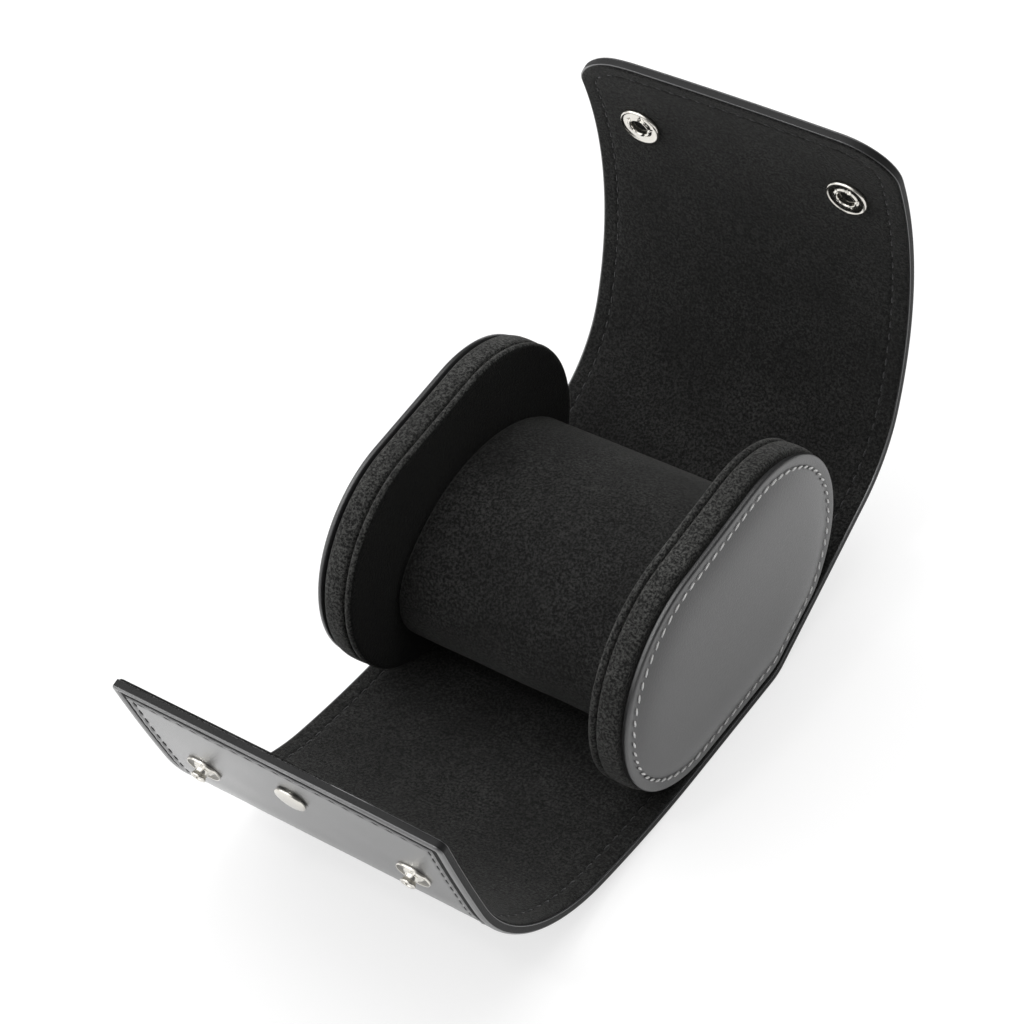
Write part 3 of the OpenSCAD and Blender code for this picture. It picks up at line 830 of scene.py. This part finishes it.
# %% Cheek sections
CHEEK_INNER_FACE = 34.57
SUEDE_SECTION = [(34.55, 24.0), (34.5, 12.0), (34.4, 4.0), (34.3, 1.8), (34.32, 0.9),
                 (34.45, 0.35), (34.75, 0.02), (35.2, -0.12), (35.7, -0.04), (36.02, 0.25),
                 (36.14, 1.1), (36.52, 1.15), (36.7, 0.3), (37.05, 0.0), (37.7, -0.12),
                 (39.4, -0.18), (40.9, -0.12), (41.7, 0.05), (42.15, 0.4), (42.35, 1.1),
                 (42.4, 2.8)]
LEATHER_SECTION = [(42.45, 3.6), (42.85, 2.8), (43.1, 1.6), (43.3, 0.85), (43.6, 0.6),
                   (44.1, 0.6), (44.45, 0.7), (44.68, 0.95), (44.76, 1.35), (44.74, 1.9),
                   (44.7, 2.6), (44.64, 3.2), (44.54, 3.5), (44.5, 3.8), (44.58, 4.15),
                   (44.8, 4.75), (45.12, 5.7), (45.53, 7.1), (45.94, 9.2), (46.26, 12.0),
                   (46.46, 16.0), (46.55, 21.0), (46.6, 27.0)]
CHEEK_STITCH_IN = 3.75
CHEEK_STITCH_X = 44.85
CHEEK_PITCH = 3.3
CHEEK_STITCH_LONG = 2.6
CHEEK_THREAD_R = 0.31
SLANT = 0.36
FINER = 8
SKIN_SHARP = math.radians(60)

# %% Cheeks
def turn_over(bm, side):
    """Turns the mesh of a right cheek over where the side is the left."""
    if side == "left":
        bmesh.ops.scale(bm, vec=(-1.0, 1.0, 1.0), verts=bm.verts)
        bmesh.ops.reverse_faces(bm, faces=bm.faces)


def cheek_stitches(bm):
    path = cheek_points(CHEEK_STITCH_IN)
    fine = []
    for (y0, z0), (y1, z1) in zip(path, path[1:] + path[:1]):
        fine += [(y0 + (y1 - y0) * k / FINER, z0 + (z1 - z0) * k / FINER) for k in range(FINER)]
    for (y0, z0), (y1, z1) in walk_path(fine, CHEEK_PITCH, CHEEK_STITCH_LONG):
        along = Vector((0.0, y1 - y0, z1 - z0)).normalized()
        aside = SLANT * along.cross(Vector((1.0, 0.0, 0.0)))
        start = (Vector((CHEEK_STITCH_X, y0, z0)) + aside) * MM
        end = (Vector((CHEEK_STITCH_X, y1, z1)) - aside) * MM
        lay_stitch(bm, start, end, Vector((1.0, 0.0, 0.0)), CHEEK_THREAD_R * MM)


for side in ("right", "left"):
    bm = bmesh.new()
    skin(bm, SUEDE_SECTION)
    # The cheek's inner face takes the darker suede copy, painted shade; the rest of the cover
    # takes the paler copy, painted light.
    for face in bm.faces:
        if face.calc_center_median().x < CHEEK_INNER_FACE * MM:
            face.material_index = 1
    turn_over(bm, side)
    cover = to_object(bm, side + "_cheek_cover", [cheek_suede, painted_shade_inner_suede], SKIN_SHARP)
    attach(cover, "base")
    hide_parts(side + "_cheek_core", side + "_cheek_band", side + "_cheek_welt",
                side + "_cheek_suede")

    bm = bmesh.new()
    skin(bm, LEATHER_SECTION)
    turn_over(bm, side)
    panel = to_object(bm, side + "_cheek_panel", panel_leather, SKIN_SHARP)
    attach(panel, "base")
    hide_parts(side + "_cheek_leather", side + "_cheek_pad", side + "_cheek_board")

    bm = bmesh.new()
    cheek_stitches(bm)
    turn_over(bm, side)
    seam = to_object(bm, side + "_cheek_thread", white_thread, None)
    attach(seam, "base")
    print(side, "cheek: panel", len(panel.data.polygons), "faces")

# %% [markdown]
# ## The pillow
# The pillow is firm foam in a suede tube with an oval end sewn in at each
# side. It is an oval of four arcs. A ring is made for each step along the
# pillow and the rings are bridged. The cover swells a little between its
# seams and is never quite even, which slow noise gives.

# %% Pillow
PILLOW_HALF = 34.0
OVAL_A = 36.0
OVAL_B = 24.5
OVAL_END_R = 17.0
END_C = OVAL_A - OVAL_END_R
SIDE_R = (END_C ** 2 + OVAL_B ** 2 - OVAL_END_R ** 2) / (2 * (OVAL_B - OVAL_END_R))
SIDE_C = SIDE_R - OVAL_B
low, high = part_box("pillow_cover")
PILLOW_Y = (low.y + high.y) / 2 / MM
PILLOW_Z = (low.z + high.z) / 2 / MM
PILLOW_RING = 144


def oval_point(angle, inset):
    """Point of the oval whose outward direction has that angle."""
    c, s = math.cos(angle), math.sin(angle)
    limit = END_C / (SIDE_R - OVAL_END_R)
    if abs(c) <= limit:
        r = SIDE_R - inset
        return r * c, r * s - math.copysign(SIDE_C, s)
    r = OVAL_END_R - inset
    return math.copysign(END_C, c) + r * c, r * s


PILLOW_SECTION = [(33.9, 22.0), (33.9, 10.0), (33.88, 3.0), (33.8, 1.4), (33.55, 0.75),
                  (33.45, 0.95), (33.3, 0.8), (33.05, 0.3), (32.6, 0.1), (31.5, 0.02),
                  (29.5, 0.0)]
PILLOW_STEP = 2.0
MOST_GIVE = 0.2

bm = bmesh.new()
inner = PILLOW_SECTION[-1][0]
steps = math.ceil(2 * inner / PILLOW_STEP)
straight = [(inner - 2 * inner * k / steps, 0.0) for k in range(1, steps)]
section = PILLOW_SECTION + straight + [(-x, inset) for x, inset in reversed(PILLOW_SECTION)]
rings = []
for x, inset in section:
    made = bmesh.ops.create_circle(bm, segments=PILLOW_RING, radius=1.0)["verts"]
    for k, v in enumerate(made):
        angle = 2 * math.pi * k / PILLOW_RING
        y, z = oval_point(angle, inset)
        place = Vector((x, PILLOW_Y + y, PILLOW_Z + z))
        soft = 0.22 * noise.noise(place * 0.07) * (1.0 - smoothstep(28.0, 33.0, abs(x)))
        crown = 0.12 * (1.0 - (x / PILLOW_HALF) ** 2)
        give = min(soft + crown, MOST_GIVE)
        v.co = (place + give * Vector((0.0, math.cos(angle), math.sin(angle)))) * MM
    rings.append(made)
bridge_rings(bm, rings)
pillow = to_object(bm, "pillow", pillow_suede, SKIN_SHARP)
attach(pillow, "pillow")
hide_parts("pillow_cover", "pillow_left_end", "pillow_right_end", "pillow_core")
print("pillow:", len(pillow.data.polygons), "faces at y and z, mm:",
      round(PILLOW_Y, 2), round(PILLOW_Z, 2))

# %% [markdown]
# ## Press studs
# The metal parts are stamped and rolled from sheet, so every edge is round.
# Each one is a half section that is spun once round. The rolled collars end
# in petals, because the tube splits as it is rolled over: the points of that
# part of the section are pushed down in the gaps between the petals.

# %% Turned metal pieces
SPIN_STEPS = 60
METAL_SHARP = math.radians(50)


def turned(bm, section, petals=0, petal_from=0.0, petal_to=0.0, petal_h=0.0, dull_to=0.0):
    """Spins a half section of (radius, height) points, in mm, about Z. The
    upper faces from the petals out to the last radius given take the second
    finish, a darker nickel that is a painted dark reflection."""
    verts = [bm.verts.new(Vector((max(r, 0.0), 0.0, z)) * MM) for r, z in section]
    closed = section[0][0] > 0.0
    pairs = list(zip(verts, verts[1:])) + ([(verts[-1], verts[0])] if closed else [])
    edges = [bm.edges.new(pair) for pair in pairs]
    bmesh.ops.spin(bm, geom=verts + edges, cent=(0.0, 0.0, 0.0), axis=(0.0, 0.0, 1.0),
                   angle=2 * math.pi, steps=SPIN_STEPS, use_merge=True)
    bmesh.ops.remove_doubles(bm, verts=bm.verts, dist=0.001 * MM)
    bmesh.ops.recalc_face_normals(bm, faces=bm.faces)
    for v in bm.verts if petals else []:
        r = math.hypot(v.co.x, v.co.y) / MM
        if petal_from < r < petal_to and v.co.z > 0:
            angle = math.atan2(v.co.y, v.co.x)
            gap = max(math.cos(petals * angle), 0.0) ** 4
            v.co.z -= petal_h * MM * gap
    # Faces of the hollow take the darker nickel, a painted dark reflection.
    for face in bm.faces if dull_to else []:
        middle = face.calc_center_median()
        if petal_to < math.hypot(middle.x, middle.y) / MM < dull_to and face.normal.z > 0:
            face.material_index = 1


def set_on_wrap(bm, x, s, height, outward):
    """Moves what bm holds from the origin to the wrap, its +Z along the
    outward or the inward normal."""
    here = on_wrap(x, s, height)
    up = (on_wrap(x, s, height + 1.0) - here).normalized() * (-1 if outward else 1)
    right = Vector((1.0, 0.0, 0.0))
    along = up.cross(right)
    turn = Matrix((right, along, up)).transposed().to_4x4()
    bmesh.ops.transform(bm, matrix=Matrix.Translation(here) @ turn, verts=bm.verts)


def metal_piece(name, section, s, height, outward, body, node, xs, **petals):
    whole = bmesh.new()
    for x in xs:
        part = bmesh.new()
        turned(part, section, **petals)
        set_on_wrap(part, x, s, height, outward)
        mesh = bpy.data.meshes.new("part")
        part.to_mesh(mesh)
        part.free()
        whole.from_mesh(mesh)
        bpy.data.meshes.remove(mesh)
    piece = to_object(whole, name, [nickel, painted_reflection_nickel], METAL_SHARP)
    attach(piece, body)
    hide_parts(node)
    print(name, len(piece.data.polygons), "faces")
    return piece


# %% [markdown]
# ### Sections of the metal parts
# A stud has a flat collar, a hollow darkened as a painted reflection, and a
# head with petals. A socket is a ring round a rolled tube with petals. Caps,
# eyelets and the rivet are what holds them on the other side. Each section is
# written as radius and height over the surface that the part stands on, in mm.
# Below 0 is a shank in the leather.

# %% Metal sections
PAIR = (-STUD_X, STUD_X)
STUD_SECTION = [(1.1, -2.5), (1.85, -2.5), (1.9, -0.25), (4.2, -0.25), (4.42, -0.1),
                (4.5, 0.2), (4.48, 0.5), (4.36, 0.68), (4.2, 0.62), (4.1, 0.4), (3.95, 0.22),
                (2.75, 0.2), (2.55, 0.35), (2.4, 0.6), (2.2, 0.76), (1.95, 0.8), (1.75, 1.0),
                (1.65, 1.6), (1.65, 2.0), (1.78, 2.25), (1.92, 2.5), (1.95, 2.7), (1.88, 2.9),
                (1.68, 3.0), (1.4, 3.0), (1.2, 2.9), (1.1, 2.6)]
SOCKET_SECTION = [(2.35, 0.0), (5.2, 0.0), (5.5, 0.12), (5.6, 0.4), (5.58, 0.9), (5.45, 1.2),
                  (5.25, 1.34), (5.05, 1.28), (4.95, 1.12), (4.4, 1.02), (3.6, 1.0), (3.4, 1.08),
                  (3.15, 1.35), (2.85, 1.5), (2.55, 1.42), (2.38, 1.2), (2.35, 0.8)]
CAP_SECTION = [(0.0, 1.8), (1.5, 1.77), (2.8, 1.66), (4.0, 1.42), (4.9, 1.1), (5.6, 0.7),
               (5.95, 0.35), (6.0, 0.12), (5.9, 0.0), (2.9, 0.0), (2.85, -2.5), (2.3, -2.5),
               (2.3, 0.6), (0.0, 0.6)]
EYELET_SECTION = [(0.65, -4.8), (1.05, -4.8), (1.05, 0.0), (4.4, 0.0), (4.55, 0.08), (4.6, 0.3),
                  (4.45, 0.5), (4.0, 0.6), (3.1, 0.5), (2.2, 0.4), (1.5, 0.52), (1.0, 0.58),
                  (0.75, 0.45), (0.65, 0.2)]
BUTTON_SECTION = [(0.0, -2.5), (2.6, -2.5), (2.6, 0.1), (3.7, 0.12), (3.98, 0.22), (4.1, 0.45),
                  (4.07, 0.75), (3.88, 0.98), (3.4, 1.16), (2.5, 1.3), (1.3, 1.38), (0.0, 1.4)]
RIVET_SECTION = [(0.0, 0.5), (2.6, 0.48), (3.5, 0.4), (3.9, 0.22), (4.0, 0.1), (3.9, 0.0),
                 (0.0, 0.0)]

# %% Metal parts
LINING_FACE = WRAP_T + 0.02
metal_piece("press_studs", STUD_SECTION, STUD_AT, 0.0, True, "front_tip", "studs", PAIR,
            petals=5, petal_from=1.97, petal_to=2.7, petal_h=0.45, dull_to=4.15)
metal_piece("press_stud_eyelets", EYELET_SECTION, STUD_AT, LINING_FACE, False, "front_tip",
            "stud_eyelets", PAIR)
metal_piece("press_stud_sockets", SOCKET_SECTION, SOCKET_AT, LINING_FACE, False, "back_tip",
            "sockets", PAIR, petals=5, petal_from=2.4, petal_to=3.5, petal_h=0.55)
metal_piece("press_stud_caps", CAP_SECTION, SOCKET_AT, 0.0, True, "back_tip", "socket_caps", PAIR)
metal_piece("front_button", BUTTON_SECTION, BUTTON_AT, 0.0, True, "front_tip",
            "middle_button", (0.0,))
metal_piece("front_button_rivet", RIVET_SECTION, BUTTON_AT, LINING_FACE, False, "front_tip",
            "middle_rivet", (0.0,))

# %% [markdown]
# ## Floor
# The object stands on a white matt sheet. What the camera and the metal see of
# it is a little brighter than the light that it gives, so that the background
# comes out white while the light on the object stays plain. It lies a third of
# a millimetre low, because the bead along the leather's edge reaches there.

# %% Floor
FLOOR_SIZE = 3.0
FLOOR_Z = -0.35


def mirrored_rays(tree):
    """1 for rays in a reflection or through glass."""
    path = add(tree, "LightPath")
    mirrored = add(tree, "Math", {"operation": "MAXIMUM"},
                   {0: path.outputs["Is Glossy Ray"], 1: path.outputs["Is Transmission Ray"]})
    return path.outputs["Is Camera Ray"], mirrored.outputs[0]


def glowing_paper(tree, grey, strength):
    paper = add(tree, "BsdfDiffuse", {"Color": linear(grey)})
    glow = add(tree, "Emission", {"Color": (1.0, 1.0, 1.0, 1.0), "Strength": strength})
    return add(tree, "AddShader", links={0: paper.outputs[0], 1: glow.outputs[0]})


def make_floor():
    finish, tree = new_finish("white_sweep")
    camera_ray, mirrored = mirrored_rays(tree)
    paper = add(tree, "BsdfDiffuse", {"Color": linear("#f2f2f2")})
    in_mirror = glowing_paper(tree, "#dcdcdc", 0.3)
    shown = glowing_paper(tree, "#a4a4a4", 0.7)
    shader = add(tree, "MixShader",
                 links={0: mirrored, 1: paper.outputs[0], 2: in_mirror.outputs[0]})
    shader = add(tree, "MixShader",
                 links={0: camera_ray, 1: shader.outputs[0], 2: shown.outputs[0]})
    close_finish(tree, shader)
    return finish


bm = bmesh.new()
bmesh.ops.create_grid(bm, x_segments=1, y_segments=1, size=FLOOR_SIZE)
bmesh.ops.translate(bm, vec=(0.0, 0.0, FLOOR_Z * MM), verts=bm.verts)
floor = to_object(bm, "floor", make_floor(), None)

# %% [markdown]
# ## Room and lamps
# The light is soft: a broad lamp above, another on the left and a room that is
# brighter to the left. A small lamp high at the front left draws thin lights
# on the rolled edges. What the leather and the metal mirror of the room has
# one bright side, like a window at the front left.

# %% Room and lamps
WINDOW_WAY = Vector((-0.45, -0.6, 0.66)).normalized()
LIGHT_WAY = Vector((-0.72, 0.15, 0.66)).normalized()
world = bpy.data.worlds.new("room")
world.use_nodes = True
tree = world.node_tree
tree.nodes.clear()
camera_ray, in_mirror = mirrored_rays(tree)
sky = add(tree, "TexCoord")
ways = sky.outputs["Generated"]


def brighter_towards(way, start, end, low, high):
    """Strength that rises from low to high as a direction nears the way."""
    near = add(tree, "VectorMath", {"operation": "DOT_PRODUCT", 1: way}, {0: ways})
    return add(tree, "MapRange", {"interpolation_type": "SMOOTHSTEP", "From Min": start,
                                  "From Max": end, "To Min": low, "To Max": high},
               {"Value": near.outputs["Value"]})


fade = brighter_towards(WINDOW_WAY, 0.45, 0.92, 0.15, 1.7)
light = brighter_towards(LIGHT_WAY, -0.3, 0.95, 0.15, 1.15)
lit = add(tree, "Background", {"Color": (1.0, 1.0, 1.0, 1.0)}, {"Strength": light.outputs[0]})
mirrored = add(tree, "Background", {"Color": (1.0, 1.0, 1.0, 1.0)}, {"Strength": fade.outputs[0]})
shown = add(tree, "Background", {"Color": (1.0, 1.0, 1.0, 1.0), "Strength": 1.0})
mixed = add(tree, "MixShader", links={0: in_mirror, 1: lit.outputs[0], 2: mirrored.outputs[0]})
mixed = add(tree, "MixShader", links={0: camera_ray, 1: mixed.outputs[0], 2: shown.outputs[0]})
add(tree, "OutputWorld", links={"Surface": mixed.outputs[0]})
bpy.context.scene.world = world


def soft_lamp(name, place, target, size, watts):
    """A round lamp, its size in metres, turned towards the target."""
    data = bpy.data.lights.new(name, "AREA")
    data.shape = "DISK"
    data.size = size
    data.energy = watts
    lamp = bpy.data.objects.new(name, data)
    place = Vector(place)
    lamp.matrix_world = (Matrix.Translation(place)
                         @ (place - Vector(target)).to_track_quat("Z", "Y").to_matrix().to_4x4())
    bpy.context.scene.collection.objects.link(lamp)


MIDDLE = (0.0, 0.0, 0.04)
soft_lamp("top", (-0.1, 0.2, 1.5), MIDDLE, 1.1, 5.6)
soft_lamp("side", (-1.05, 0.0, 0.95), MIDDLE, 1.0, 3.4)
soft_lamp("small", (-0.22, -0.67, 1.32), MIDDLE, 0.14, 1.7)

# %% [markdown]
# ## Picture settings
# Colours are shown as they are written.

# %% Picture settings
bpy.context.scene.view_settings.view_transform = "Standard"
